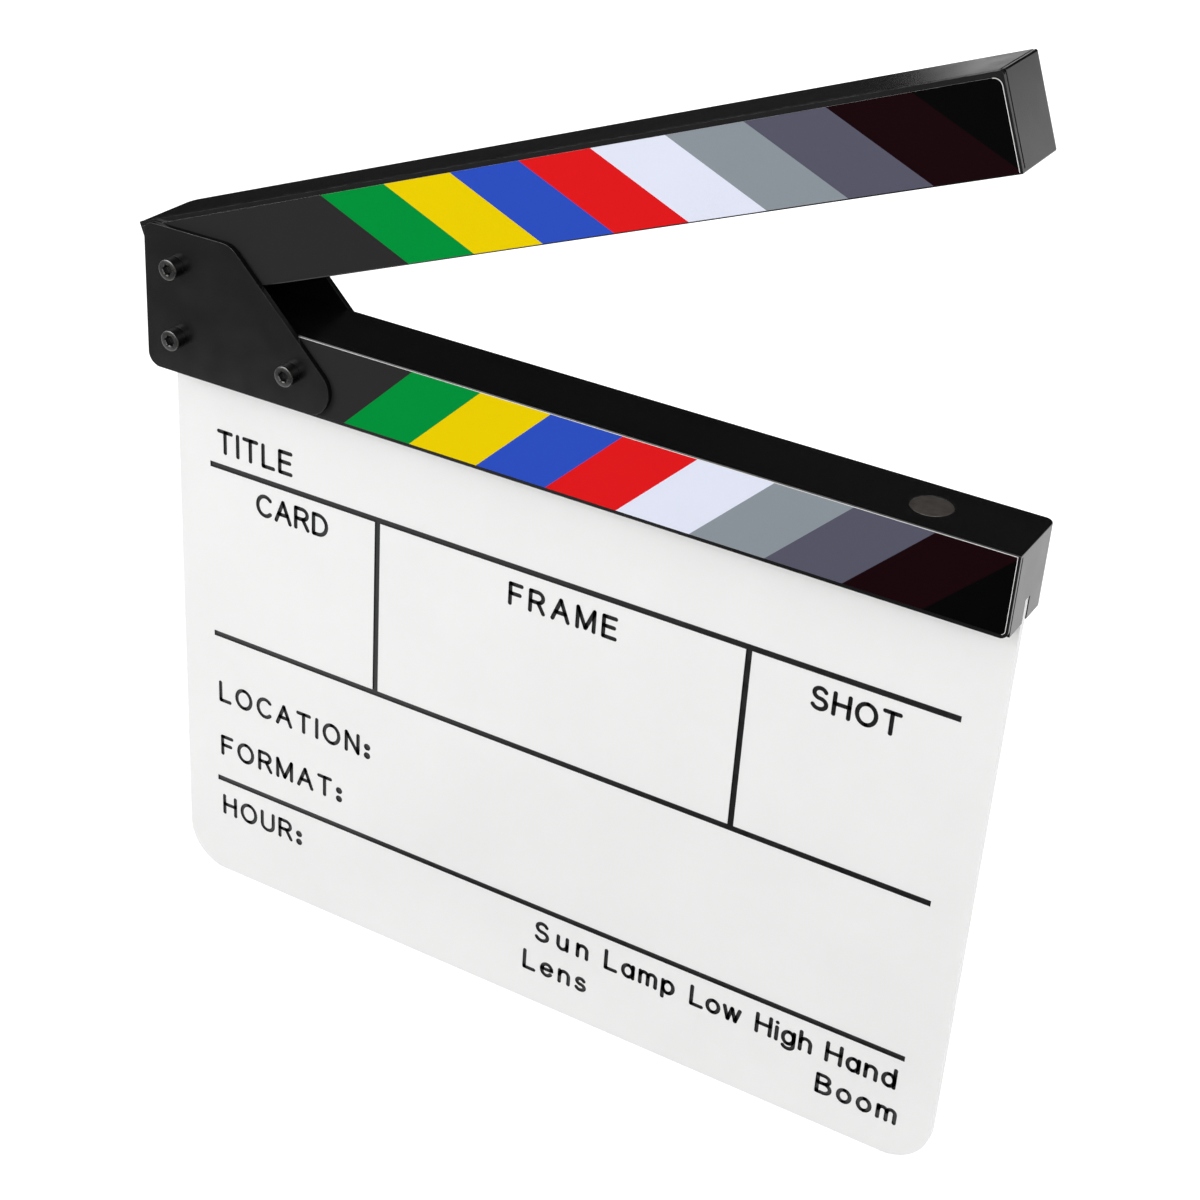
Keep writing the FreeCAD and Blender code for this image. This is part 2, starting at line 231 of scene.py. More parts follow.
class Surface:
    """A material round one Principled shader, with short calls for the nodes that give it its pattern."""

    def __init__(self, name, colour, roughness, metallic=0.0, specular=0.5):
        self.material = bpy.data.materials.new(name)
        self.material.use_nodes = True
        self.tree = self.material.node_tree
        self.shader = self.tree.nodes["Principled BSDF"]
        self.colour = colour
        self.set("Base Color", (*colour, 1.0))
        self.set("Roughness", roughness)
        self.set("Metallic", metallic)
        self.set("Specular IOR Level", specular)
        self.place = self.add("ShaderNodeTexCoord").outputs["Object"]

    def set(self, socket, value):
        """One value for the whole surface, on the shader's own socket."""
        self.shader.inputs[socket].default_value = value

    def add(self, kind, **settings):
        """A new node with its settings."""
        node = self.tree.nodes.new(kind)
        for name, value in settings.items():
            setattr(node, name, value)
        return node

    def link(self, output, target):
        """Joins an output to an input."""
        self.tree.links.new(output, target)

    def clouds(self, size, detail=3.0, stretch=(1.0, 1.0, 1.0)):
        """Cloudy pattern from 0 to 1, with patches about that size, drawn out along an axis by stretch."""
        mapping = self.add("ShaderNodeMapping")
        mapping.inputs["Scale"].default_value = [1.0 / (size * share) for share in stretch]
        self.link(self.place, mapping.inputs["Vector"])
        noise = self.add("ShaderNodeTexNoise")
        noise.inputs["Scale"].default_value = 1.0
        noise.inputs["Detail"].default_value = detail
        self.link(mapping.outputs["Vector"], noise.inputs["Vector"])
        return noise.outputs["Fac"]

    def spread(self, value, low=0.0, high=1.0, start=0.3, end=0.7):
        """A value that goes from low to high while the pattern goes from start to end."""
        node = self.add("ShaderNodeMapRange")
        self.link(value, node.inputs["Value"])
        node.inputs["From Min"].default_value = start
        node.inputs["From Max"].default_value = end
        node.inputs["To Min"].default_value = low
        node.inputs["To Max"].default_value = high
        return node.outputs["Result"]

    def times(self, first, second):
        """Product of two patterns."""
        node = self.add("ShaderNodeMath", operation="MULTIPLY")
        self.link(first, node.inputs[0])
        self.link(second, node.inputs[1])
        return node.outputs["Value"]

    def blend(self, share, first, second):
        """Colour that goes from first to second with a pattern. First may be a colour or another blend."""
        node = self.add("ShaderNodeMix", data_type="RGBA")
        self.link(share, node.inputs["Factor"])
        if isinstance(first, tuple):
            node.inputs["A"].default_value = (*first, 1.0)
        else:
            self.link(first, node.inputs["A"])
        node.inputs["B"].default_value = (*second, 1.0)
        return node.outputs["Result"]

    def edges(self, radius):
        """Pattern that is 1 along sharp edges and 0 on flat faces."""
        bevel = self.add("ShaderNodeBevel", samples=edge_mark_samples)
        bevel.inputs["Radius"].default_value = radius
        geometry = self.add("ShaderNodeNewGeometry")
        turn = self.add("ShaderNodeVectorMath", operation="DOT_PRODUCT")
        self.link(bevel.outputs["Normal"], turn.inputs[0])
        self.link(geometry.outputs["Normal"], turn.inputs[1])
        return self.spread(turn.outputs["Value"], low=1.0, high=0.0, start=full_edge_mark_turn, end=no_edge_mark_turn)

    def paint(self, colour):
        """Uses a pattern as the surface's colour."""
        self.link(colour, self.shader.inputs["Base Color"])

    def polish(self, roughness):
        """Uses a pattern as the surface's roughness."""
        self.link(roughness, self.shader.inputs["Roughness"])

    def relief(self, height, depth):
        """Uses a pattern as the surface's fine relief, depth being its height in metres."""
        bump = self.add("ShaderNodeBump")
        bump.inputs["Distance"].default_value = depth
        self.link(height, bump.inputs["Height"])
        self.link(bump.outputs["Normal"], self.shader.inputs["Normal"])


def shade(colour, share):
    """A colour made lighter or darker."""
    return tuple(channel * share for channel in colour)


def make_acrylic():
    """Milky acrylic sheet with a satin face, faint smudges and a little depth."""
    surface = Surface("acrylic", (0.905, 0.905, 0.90), roughness=0.38, specular=0.3)
    surface.set("Subsurface Weight", 0.25)
    surface.set("Subsurface Radius", (1.0, 1.0, 1.0))
    surface.set("Subsurface Scale", 1.6 * mm)
    smudges = surface.spread(surface.clouds(38 * mm, detail=4.0))
    surface.paint(surface.blend(smudges, surface.colour, shade(surface.colour, 0.975)))
    surface.polish(surface.spread(surface.clouds(9 * mm, detail=5.0), low=0.32, high=0.46))
    surface.relief(surface.clouds(0.35 * mm, detail=2.0), depth=0.004 * mm)
    return surface.material


def make_infill():
    """Satin black paint in the engraved lines, a little uneven."""
    surface = Surface("engraved_infill", (0.004, 0.004, 0.0045), roughness=0.42, specular=0.5)
    patches = surface.clouds(2.2 * mm)
    surface.paint(surface.blend(surface.spread(patches), surface.colour, shade(surface.colour, 2.0)))
    surface.polish(surface.spread(patches, low=0.34, high=0.52))
    surface.relief(surface.clouds(0.5 * mm), depth=0.02 * mm)
    return surface.material


def make_powder_coat():
    """Black powder coat: faint orange peel, lighter along its edges, partly rubbed paint and partly a
    painted highlight.
    """
    surface = Surface("black_powder_coat", (0.003, 0.003, 0.0033), roughness=0.22, specular=0.57)
    cloud = surface.spread(surface.clouds(26 * mm, detail=4.0))
    coat = surface.blend(cloud, surface.colour, shade(surface.colour, 1.3))
    patches = surface.spread(surface.clouds(3.5 * mm, detail=5.0), low=0.1, high=0.9, start=0.36, end=0.62)
    # Painted highlight: the lighter grey along the edges is partly rubbed paint and partly stands in for
    # the edges' highlights.
    edge_wear_and_highlight = surface.times(surface.edges(0.35 * mm), patches)
    surface.paint(surface.blend(edge_wear_and_highlight, coat, (0.085, 0.085, 0.088)))
    surface.polish(surface.spread(surface.clouds(9 * mm), low=0.20, high=0.25))
    surface.relief(surface.clouds(1.2 * mm, detail=1.0), depth=0.001 * mm)
    return surface.material


def make_print(name, colour):
    """Printed vinyl of one colour, with a faint print grain."""
    surface = Surface(name, colour, roughness=0.5, specular=0.02)
    grain = surface.spread(surface.clouds(0.4 * mm, detail=2.0))
    wash = surface.spread(surface.clouds(30 * mm), high=0.6)
    surface.paint(surface.blend(surface.times(grain, wash), surface.colour, shade(surface.colour, 0.93)))
    surface.polish(surface.spread(surface.clouds(5 * mm, detail=4.0), low=0.44, high=0.58))
    surface.relief(surface.clouds(0.9 * mm, detail=2.0), depth=0.003 * mm)
    return surface.material


def make_vinyl_core():
    """White vinyl at the cut edge of a label."""
    surface = Surface("label_core", (0.90, 0.90, 0.88), roughness=0.5, specular=0.2)
    cloud = surface.spread(surface.clouds(4 * mm))
    surface.paint(surface.blend(cloud, surface.colour, shade(surface.colour, 0.9)))
    surface.polish(surface.spread(surface.clouds(2 * mm), low=0.45, high=0.6))
    return surface.material


def make_metal(name, colour, roughness, grain, edge_wear_and_highlight_cover, rim=1.9):
    """Bare or plated metal with a fine grain, and lighter along its edges: rubbed metal, and where rim is
    large also a painted highlight.
    """
    surface = Surface(name, colour, roughness, metallic=1.0)
    cloud = surface.spread(surface.clouds(2.5 * mm, detail=4.0))
    tone = surface.blend(cloud, surface.colour, shade(surface.colour, 0.75))
    edge_wear_and_highlight_mask = surface.edges(0.25 * mm)
    edge_wear_and_highlight = surface.times(edge_wear_and_highlight_mask, surface.spread(surface.clouds(1.2 * mm), low=0.2, high=edge_wear_and_highlight_cover))
    # Lighter edges: rubbed metal, and with a large rim a painted highlight too.
    surface.paint(surface.blend(edge_wear_and_highlight, tone, shade(surface.colour, rim)))
    polish = surface.spread(surface.clouds(grain, detail=4.0), low=roughness - 0.07, high=roughness + 0.08)
    surface.polish(polish)
    surface.relief(surface.clouds(grain, detail=3.0, stretch=(1.0, 6.0, 1.0)), depth=0.006 * mm)
    return surface.material


def make_plastic(name, colour, roughness):
    """Moulded plastic of a small inner piece."""
    surface = Surface(name, colour, roughness)
    cloud = surface.spread(surface.clouds(3 * mm))
    surface.paint(surface.blend(cloud, surface.colour, shade(surface.colour, 1.3)))
    surface.polish(surface.spread(surface.clouds(1.5 * mm), low=roughness - 0.06, high=roughness + 0.06))
    surface.relief(surface.clouds(0.4 * mm), depth=0.006 * mm)
    return surface.material


acrylic = make_acrylic()
infill = make_infill()
powder_coat = make_powder_coat()
vinyl_core = make_vinyl_core()
stripe_prints = [make_print(name, colour) for name, colour in stripe_colours]
# The black screws' much lighter rim is partly rubbed steel and partly a painted highlight.
black_oxide = make_metal("black_oxide", (0.085, 0.084, 0.083), roughness=0.33, grain=0.6 * mm, edge_wear_and_highlight_cover=0.9,
                         rim=4.5)
# Lighter steel for the screw heads' rounded edge: partly rubbed metal, partly a painted highlight.
rubbed_and_highlit_steel = make_metal("rubbed_and_highlit_steel", (0.14, 0.138, 0.135), roughness=0.30, grain=0.6 * mm, edge_wear_and_highlight_cover=0.9)
zinc = make_metal("zinc_plate", (0.55, 0.56, 0.58), roughness=0.36, grain=0.8 * mm, edge_wear_and_highlight_cover=0.6)
brass = make_metal("turned_brass", (0.62, 0.45, 0.19), roughness=0.32, grain=0.5 * mm, edge_wear_and_highlight_cover=0.5)
nickel = make_metal("dull_nickel", (0.60, 0.545, 0.51), roughness=0.50, grain=0.9 * mm, edge_wear_and_highlight_cover=0.6)
pressed_steel = make_metal("pressed_steel", (0.38, 0.38, 0.40), roughness=0.42, grain=0.8 * mm, edge_wear_and_highlight_cover=0.5)
black_nylon = make_plastic("black_nylon", (0.018, 0.018, 0.018), roughness=0.5)
nut_insert = make_plastic("nut_insert", (0.62, 0.62, 0.58), roughness=0.45)


# Mesh helpers

def cad_copy(node):
    """Own mesh of a CAD node, with doubled points merged and flat faces joined."""
    source = frame["nodes"][node].data
    plain = bpy.data.meshes.new(node + "_plain")
    points = [vertex.co for vertex in source.vertices]
    faces = [list(polygon.vertices) for polygon in source.polygons]
    plain.from_pydata(points, [], faces)
    mesh = bmesh.new()
    mesh.from_mesh(plain)
    bpy.data.meshes.remove(plain)
    bmesh.ops.remove_doubles(mesh, verts=mesh.verts, dist=touching)
    bmesh.ops.dissolve_limit(mesh, angle_limit=flat_angle, verts=mesh.verts, edges=mesh.edges)
    return mesh


def sharp_edges(mesh):
    """Edges where two faces meet at more than the smoothing angle."""
    return [edge for edge in mesh.edges if edge.is_manifold and edge.calc_face_angle() > sharp_angle]


def soften(mesh, edges, width):
    """Rounds edges by a small width."""
    bmesh.ops.bevel(mesh, geom=edges, offset=width, segments=2, profile=0.5, affect="EDGES",
                    clamp_overlap=True, loop_slide=True)


def as_object(mesh, name, materials):
    """Object of a mesh, smooth except at sharp edges, with flat faces kept flat."""
    data = bpy.data.meshes.new(name)
    mesh.to_mesh(data)
    mesh.free()
    for material in materials:
        data.materials.append(material)
    data.shade_smooth()
    data.set_sharp_from_angle(angle=sharp_angle)
    piece = bpy.data.objects.new(name, data)
    bpy.context.scene.collection.objects.link(piece)
    weighted = piece.modifiers.new("flat faces stay flat", "WEIGHTED_NORMAL")
    weighted.keep_sharp = True
    return piece


def body_of(node):
    """Name of the CAD body that carries a node."""
    return frame["nodes"][node]["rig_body"]


def settle(piece, node):
    """Puts a piece on the body of the CAD node that it stands for."""
    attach(piece, body_of(node))
    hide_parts(node)


def dress(node, material, width):
    """Stands a clean, softened copy in for a CAD node."""
    mesh = cad_copy(node)
    soften(mesh, sharp_edges(mesh), width)
    settle(as_object(mesh, node + "_shown", [material]), node)


# Turned pieces

def round_section(radius):
    """Round outline."""
    return lambda turn: radius


def hexagon_section(flats, corner=math.inf):
    """Six-sided outline, with its corners turned off at a radius."""
    sixth = math.radians(60)
    return lambda turn: min(corner, flats / 2 / math.cos(turn % sixth - sixth / 2))


def knurled_section(radius):
    """Round outline with fine ribs."""
    return lambda turn: radius - knurl_depth * (0.5 - 0.5 * math.cos(turn * knurl_ribs))


def add_turned(mesh, place, sections, hollow):
    """Adds a body about a line along the depth, and returns its strips of faces.

    Sections are pairs of a depth and an outline. A hollow body's last outline joins its first.
    A full one is closed at both ends.
    """
    loops = []
    for depth, outline in sections:
        loop = []
        for index in range(turned_sides):
            turn = 2 * math.pi * index / turned_sides
            radius = outline(turn)
            across = place[0] + radius * math.cos(turn)
            up = place[1] + radius * math.sin(turn)
            loop.append(mesh.verts.new((across, depth, up)))
        loops.append(loop)
    if hollow:
        loops.append(loops[0])
    else:
        mesh.faces.new(loops[0])
        mesh.faces.new(loops[-1])
    strips = []
    for first, second in zip(loops, loops[1:]):
        strip = []
        for index in range(turned_sides):
            strip.append(mesh.faces.new((first[index - 1], first[index], second[index], second[index - 1])))
        strips.append(strip)
    return strips


def use_second_material(strips):
    """Gives strips of faces the second of a piece's materials."""
    for strip in strips:
        for face in strip:
            face.material_index = 1


def add_screw(mesh, place, low, high):
    """Adds a socket-head screw: six-sided socket, knurled head, shank and the last threads at its tip."""
    face = low.y
    base = front_plate_low.y
    tip = high.y
    sections = [
        (face + socket_depth, hexagon_section(socket_flats)),
        (face + socket_lead_depth, hexagon_section(socket_flats)),
        (face, round_section(socket_flats / math.sqrt(3) + socket_lead)),
        (face, round_section(head_radius - head_round)),
        (face + head_round_along, round_section(head_radius - head_round_in)),
        (face + head_round, round_section(head_radius)),
        (face + knurl_margin, knurled_section(head_radius)),
        (base - knurl_margin, knurled_section(head_radius)),
        (base - head_round, round_section(head_radius)),
        (base - head_foot_chamfer, round_section(head_radius)),
        (base, round_section(head_radius - head_foot_chamfer)),
        (base, round_section(shank_radius)),
    ]
    thread_start = tip - tip_chamfer - threads_shown * thread_pitch
    for index in range(threads_shown):
        crest = thread_start + index * thread_pitch
        sections.append((crest, round_section(shank_radius)))
        sections.append((crest + thread_pitch / 2, round_section(shank_radius - thread_depth)))
    sections.append((tip - tip_chamfer, round_section(shank_radius)))
    sections.append((tip, round_section(shank_radius - tip_chamfer)))
    strips = add_turned(mesh, place, sections, hollow=False)
    # Painted highlight: the head's rounded edge gets the lighter steel, partly as rubbed metal.
    head_edge = strips[3:5]        # counted from the socket's floor
    use_second_material(head_edge)


def add_nut(mesh, place, low, high):
    """Adds a locking nut: hexagon with turned-off corners, rounded collar and a nylon ring sunk in it."""
    collar = high.y - collar_height
    collar_radius = nut_flats / 2 - nut_chamfer
    sections = [
        (low.y, hexagon_section(nut_flats, nut_corner - nut_chamfer)),
        (low.y + nut_chamfer / 2, hexagon_section(nut_flats, nut_corner)),
        (collar - nut_chamfer, hexagon_section(nut_flats, nut_corner)),
        (collar, round_section(collar_radius)),
        (high.y - collar_round, round_section(collar_radius)),
        (high.y - collar_round_along, round_section(collar_radius - collar_round_in)),
        (high.y, round_section(insert_radius)),
        (high.y - insert_sink, round_section(insert_radius)),
        (high.y - insert_sink, round_section(bore_radius)),
        (collar, round_section(bore_radius)),
        (low.y, round_section(bore_radius)),
    ]
    strips = add_turned(mesh, place, sections, hollow=True)
    nylon_ring = strips[7:9]       # counted from the nut's seat
    use_second_material(nylon_ring)


def make_fasteners(node, places, add_one, materials):
    """Stands detailed screws or nuts in for a CAD node."""
    low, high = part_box(node)
    mesh = bmesh.new()
    for place in places:
        add_one(mesh, place, low, high)
    bmesh.ops.recalc_face_normals(mesh, faces=mesh.faces)
    settle(as_object(mesh, node + "_shown", materials), node)


# Engraved strokes

def line(*points):
    """Straight stroke through points. A single point is a dot."""
    return [Vector(point) for point in points]


def bow(centre, radii, start, finish):
    """Round stroke on an ellipse, from one angle to another in degrees."""
    first = math.radians(start)
    turn = math.radians(finish - start)
    count = max(2, math.ceil(abs(turn) / stroke_step))
    points = []
    for index in range(count + 1):
        angle = first + turn * index / count
        across = centre[0] + radii[0] * math.cos(angle)
        up = centre[1] + radii[1] * math.sin(angle)
        points.append(Vector((across, up)))
    return points


def oval(centre, radii):
    """Closed round stroke in two halves."""
    return [bow(centre, radii, 90, 270), bow(centre, radii, -90, 90)]


# Letters on a grid one capital high: width, then strokes
small = 0.68
letters = {
    "A": (0.72, [line((0, 0), (0.36, 1)), line((0.36, 1), (0.72, 0)), line((0.14, 0.36), (0.58, 0.36))]),
    "B": (0.6, [
        line((0, 0), (0, 1)),
        line((0, 1), (0.3, 1)) + bow((0.3, 0.77), (0.24, 0.23), 90, -90) + line((0.3, 0.54), (0, 0.54)),
        bow((0.3, 0.27), (0.3, 0.27), 90, -90) + line((0.3, 0), (0, 0)),
    ]),
    "C": (0.66, [bow((0.38, 0.5), (0.38, 0.5), 45, 315)]),
    "D": (0.66, [
        line((0, 0), (0, 1)),
        line((0, 1), (0.24, 1)) + bow((0.24, 0.5), (0.42, 0.5), 90, -90) + line((0.24, 0), (0, 0)),
    ]),
    "E": (0.54, [
        line((0, 0), (0, 1)),
        line((0, 1), (0.54, 1)),
        line((0, 0.53), (0.48, 0.53)),
        line((0, 0), (0.54, 0)),
    ]),
    "F": (0.52, [line((0, 0), (0, 1)), line((0, 1), (0.52, 1)), line((0, 0.52), (0.45, 0.52))]),
    "H": (0.62, [line((0, 0), (0, 1)), line((0.62, 0), (0.62, 1)), line((0, 0.52), (0.62, 0.52))]),
    "I": (0.0, [line((0, 0), (0, 1))]),
    "L": (0.5, [line((0, 0), (0, 1)), line((0, 0), (0.5, 0))]),
    "M": (0.76, [
        line((0, 0), (0, 1)),
        line((0, 1), (0.38, 0.05)),
        line((0.38, 0.05), (0.76, 1)),
        line((0.76, 1), (0.76, 0)),
    ]),
    "N": (0.62, [line((0, 0), (0, 1)), line((0, 1), (0.62, 0)), line((0.62, 0), (0.62, 1))]),
    "O": (0.78, oval((0.39, 0.5), (0.39, 0.5))),
    "R": (0.62, [
        line((0, 0), (0, 1)),
        line((0, 1), (0.33, 1)) + bow((0.33, 0.74), (0.26, 0.26), 90, -90) + line((0.33, 0.48), (0, 0.48)),
        line((0.36, 0.48), (0.62, 0)),
    ]),
    "S": (0.58, [bow((0.29, 0.755), (0.25, 0.245), 25, 270) + bow((0.29, 0.255), (0.29, 0.255), 90, -155)]),
    "T": (0.62, [line((0, 1), (0.62, 1)), line((0.31, 1), (0.31, 0))]),
    "U": (0.62, [
        line((0, 1), (0, 0.31)) + bow((0.31, 0.31), (0.31, 0.31), 180, 360) + line((0.62, 0.31), (0.62, 1)),
    ]),
    "a": (0.5, oval((0.25, 0.34), (0.25, 0.34)) + [line((0.5, 0), (0.5, small))]),
    "d": (0.5, oval((0.25, 0.34), (0.25, 0.34)) + [line((0.5, 0), (0.5, 1))]),
    "e": (0.52, [line((0.02, 0.36), (0.51, 0.36)), bow((0.26, 0.34), (0.26, 0.34), 4, 322)]),
    "g": (0.5, oval((0.25, 0.34), (0.25, 0.34)) + [
        line((0.5, small), (0.5, -0.06)) + bow((0.25, -0.06), (0.25, 0.22), 0, -150),
    ]),
    "h": (0.46, [
        line((0, 0), (0, 1)),
        bow((0.23, 0.42), (0.23, 0.26), 180, 0) + line((0.46, 0.42), (0.46, 0)),
    ]),
    "i": (0.0, [line((0, 0), (0, small)), line((0, 0.96))]),
    "m": (0.76, [
        line((0, 0), (0, small)),
        bow((0.19, 0.46), (0.19, 0.22), 180, 0) + line((0.38, 0.46), (0.38, 0)),
        bow((0.57, 0.46), (0.19, 0.22), 180, 0) + line((0.76, 0.46), (0.76, 0)),
    ]),
    "n": (0.46, [
        line((0, 0), (0, small)),
        bow((0.23, 0.42), (0.23, 0.26), 180, 0) + line((0.46, 0.42), (0.46, 0)),
    ]),
    "o": (0.54, oval((0.27, 0.34), (0.27, 0.34))),
    "p": (0.5, oval((0.25, 0.34), (0.25, 0.34)) + [line((0, small), (0, -0.28))]),
    "s": (0.42, [bow((0.21, 0.51), (0.18, 0.17), 25, 270) + bow((0.21, 0.17), (0.21, 0.17), 90, -155)]),
    "u": (0.46, [
        line((0, small), (0, 0.25)) + bow((0.23, 0.25), (0.23, 0.25), 180, 360),
        line((0.46, small), (0.46, 0)),
    ]),
    "w": (0.72, [
        line((0, small), (0.18, 0)),
        line((0.18, 0), (0.36, small)),
        line((0.36, small), (0.54, 0)),
        line((0.54, 0), (0.72, small)),
    ]),
    ":": (0.16, [line((0.08, 0.08)), line((0.08, 0.56))]),
}


def stroke_outline(points, width):
    """Outline of a round-ended stroke. A single point gives a dot."""
    half = width / 2
    if len(points) == 1:
        return bow(points[0], (half, half), 0, 360)[:-1]
    sides = []
    for index, point in enumerate(points):
        before = points[max(index - 1, 0)]
        after = points[min(index + 1, len(points) - 1)]
        along = (after - before).normalized()
        sides.append(Vector((-along.y, along.x)) * half)
    heading = math.degrees(math.atan2(-sides[-1].y, -sides[-1].x))
    tail = math.degrees(math.atan2(sides[0].y, sides[0].x))
    right_side = [point - side for point, side in zip(points, sides)]
    left_side = [point + side for point, side in zip(points, sides)]
    end_cap = bow(points[-1], (half, half), heading, heading + 180)[1:-1]
    start_cap = bow(points[0], (half, half), tail, tail + 180)[1:-1]
    return right_side + end_cap + left_side[::-1] + start_cap


def add_cutter(mesh, outline):
    """Adds a prism that cuts an outline into the board's front face."""
    near = board_low.y - rule_depth
    far = board_low.y + rule_depth
    front = [mesh.verts.new((point.x, near, point.y)) for point in outline]
    back = [mesh.verts.new((point.x, far, point.y)) for point in outline]
    mesh.faces.new(front)
    mesh.faces.new(back[::-1])
    for index in range(len(outline)):
        mesh.faces.new((front[index], front[index - 1], back[index - 1], back[index]))


def add_word(mesh, text, start, finish, foot, height):
    """Adds the cutters of one word, spaced to fill its place."""
    spread = height * letter_width_share
    widths = [letters[sign][0] * spread for sign in text]
    gap = (finish - start - sum(widths)) / (len(text) - 1)
    across = board_low.x + start
    up = stick_low.z - foot
    for sign, width in zip(text, widths):
        stroke_width = colon_dot if sign == ":" else letter_stroke
        for stroke in letters[sign][1]:
            placed = [Vector((across + point.x * spread, up + point.y * height)) for point in stroke]
            add_cutter(mesh, stroke_outline(placed, stroke_width))
        across += width + gap


def make_cutters():
    """Object that holds every letter's cutters."""
    mesh = bmesh.new()
    for text, start, finish, foot, height in words:
        add_word(mesh, text, start * mm, finish * mm, foot * mm, height * mm)
    bmesh.ops.recalc_face_normals(mesh, faces=mesh.faces)
    return as_object(mesh, "letter_cutters", [infill])


def make_board():
    """Board with its outer edges softened, its ruled lines filled and its words engraved."""
    mesh = cad_copy("board")
    groove_floor = board_low.y + rule_depth
    lined = set()
    for face in mesh.faces:
        if board_low.y + touching < face.calc_center_median().y < groove_floor + touching:
            face.material_index = 1
            lined.add(face)
    outer = []
    for edge in sharp_edges(mesh):
        middle = (edge.verts[0].co + edge.verts[1].co) / 2
        on_face = min(abs(middle.y - board_low.y), abs(middle.y - board_high.y)) < touching
        if on_face and not lined.intersection(edge.link_faces):
            outer.append(edge)
    soften(mesh, outer, acrylic_edge_round)
    board = as_object(mesh, "board_engraved", [acrylic, infill])
    cutters = make_cutters()
    engraving = board.modifiers.new("engraving", "BOOLEAN")
    engraving.object = cutters
    engraving.operation = "DIFFERENCE"
    engraving.solver = "EXACT"
    engraving.use_self = True
    engraving.material_mode = "TRANSFER"
    bpy.context.view_layer.update()
    cut = bmesh.new()
    cut.from_object(board, bpy.context.evaluated_depsgraph_get())
    bpy.data.objects.remove(cutters)
    bpy.data.objects.remove(board)
    piece = as_object(cut, "board_shown", [acrylic, infill])
    for polygon in piece.data.polygons:
        faces_front_or_back = abs(polygon.normal.y) > squarely_facing
        polygon.use_smooth = not faces_front_or_back
    settle(piece, "board")


# Stripe labels

def level_place(point):
    """Where a point of the lower stick lies, which is level as it is."""
    return point


def shut_place(point):
    """Where a point of the open upper stick lies when the sticks are shut."""
    return pivot + Matrix.Rotation(open_angle, 3, "Y") @ (point - pivot)


def open_place(point):
    """Where a point of the shut upper stick lies when it is open at rest."""
    return pivot + Matrix.Rotation(-open_angle, 3, "Y") @ (point - pivot)


def make_label(node, rises, pitch, place):
    """Label with a white core and printed stripes, laid level by place.

    Rises is 1 where the stripes climb to the right and -1 where they fall.
    """
    mesh = cad_copy(node)
    for vertex in mesh.verts:
        vertex.co = place(vertex.co)
    low = min(vertex.co.z for vertex in mesh.verts)
    high = max(vertex.co.z for vertex in mesh.verts)
    right = max(vertex.co.x for vertex in mesh.verts)
    core = len(stripe_colours)
    fronts = [face for face in mesh.faces if face.normal.y < -half_facing]
    for face in mesh.faces:
        face.material_index = 0 if face in fronts else core
    rim = bmesh.ops.inset_region(mesh, faces=fronts, thickness=label_rim, use_even_offset=True)
    for face in rim["faces"]:
        middle = face.calc_center_median()
        at_free_end = middle.x > right - label_corner
        along_fold = rises > 0 and middle.x > front_plate_high.x
        above_foot = middle.z > low + label_rim
        face.material_index = core if above_foot and (at_free_end or along_fold) else 0
    reference = high if rises > 0 else low
    lean = Vector((1.0, 0.0, -rises * stripe_lean_share)).normalized()
    last = right + stripe_overhang
    count = len(stripe_colours) - 1
    for index in range(count):
        boundary = Vector((last - pitch * index, 0.0, reference))
        bmesh.ops.bisect_plane(mesh, geom=mesh.verts[:] + mesh.edges[:] + mesh.faces[:], dist=touching,
                               plane_co=boundary, plane_no=lean)
    for face in mesh.faces:
        if face.material_index != core:
            middle = face.calc_center_median()
            along = middle.x - rises * stripe_lean_share * (middle.z - reference)
            face.material_index = count - max(0, min(count, math.ceil((last - along) / pitch)))
    return mesh


def make_labels():
    """Both labels."""
    prints = stripe_prints + [vinyl_core]
    lower = make_label("lower_label", 1, lower_stripe_pitch, level_place)
    settle(as_object(lower, "lower_label_shown", prints), "lower_label")
    upper = make_label("upper_label", -1, upper_stripe_pitch, shut_place)
    for vertex in upper.verts:
        vertex.co = open_place(vertex.co)
    settle(as_object(upper, "upper_label_shown", prints), "upper_label")


# Build the object

make_board()
make_labels()
for node in ("lower_stick", "upper_stick"):
    dress(node, powder_coat, sheet_edge_round)
for node in ("front_hinge_plate", "rear_hinge_plate"):
    dress(node, powder_coat, plate_edge_round)
pivot_places = [(pivot.x, pivot.z)]
fixing_level = (fixing_low.z + fixing_high.z) / 2
fixing_places = [(fixing_low.x + head_radius, fixing_level), (fixing_high.x - head_radius, fixing_level)]
for group, places in (("pivot_screw", pivot_places), ("fixing_screws", fixing_places)):
    make_fasteners(group, places, add_screw, [black_oxide, rubbed_and_highlit_steel])
for group, places in (("pivot_nut", pivot_places), ("fixing_nuts", fixing_places)):
    make_fasteners(group, places, add_nut, [zinc, nut_insert])
for node in ("pivot_washer", "fixing_washers"):
    dress(node, zinc, small_edge_round)
for node in ("lower_magnet", "upper_magnet"):
    dress(node, nickel, magnet_edge_round)
for node in ("lower_magnet_cup", "upper_magnet_cup"):
    dress(node, pressed_steel, small_edge_round)
for node in ("front_thrust_washer", "rear_thrust_washer", "front_spacers", "rear_spacers"):
    dress(node, black_nylon, small_edge_round)
dress("pivot_bush", brass, small_edge_round)


# Stage

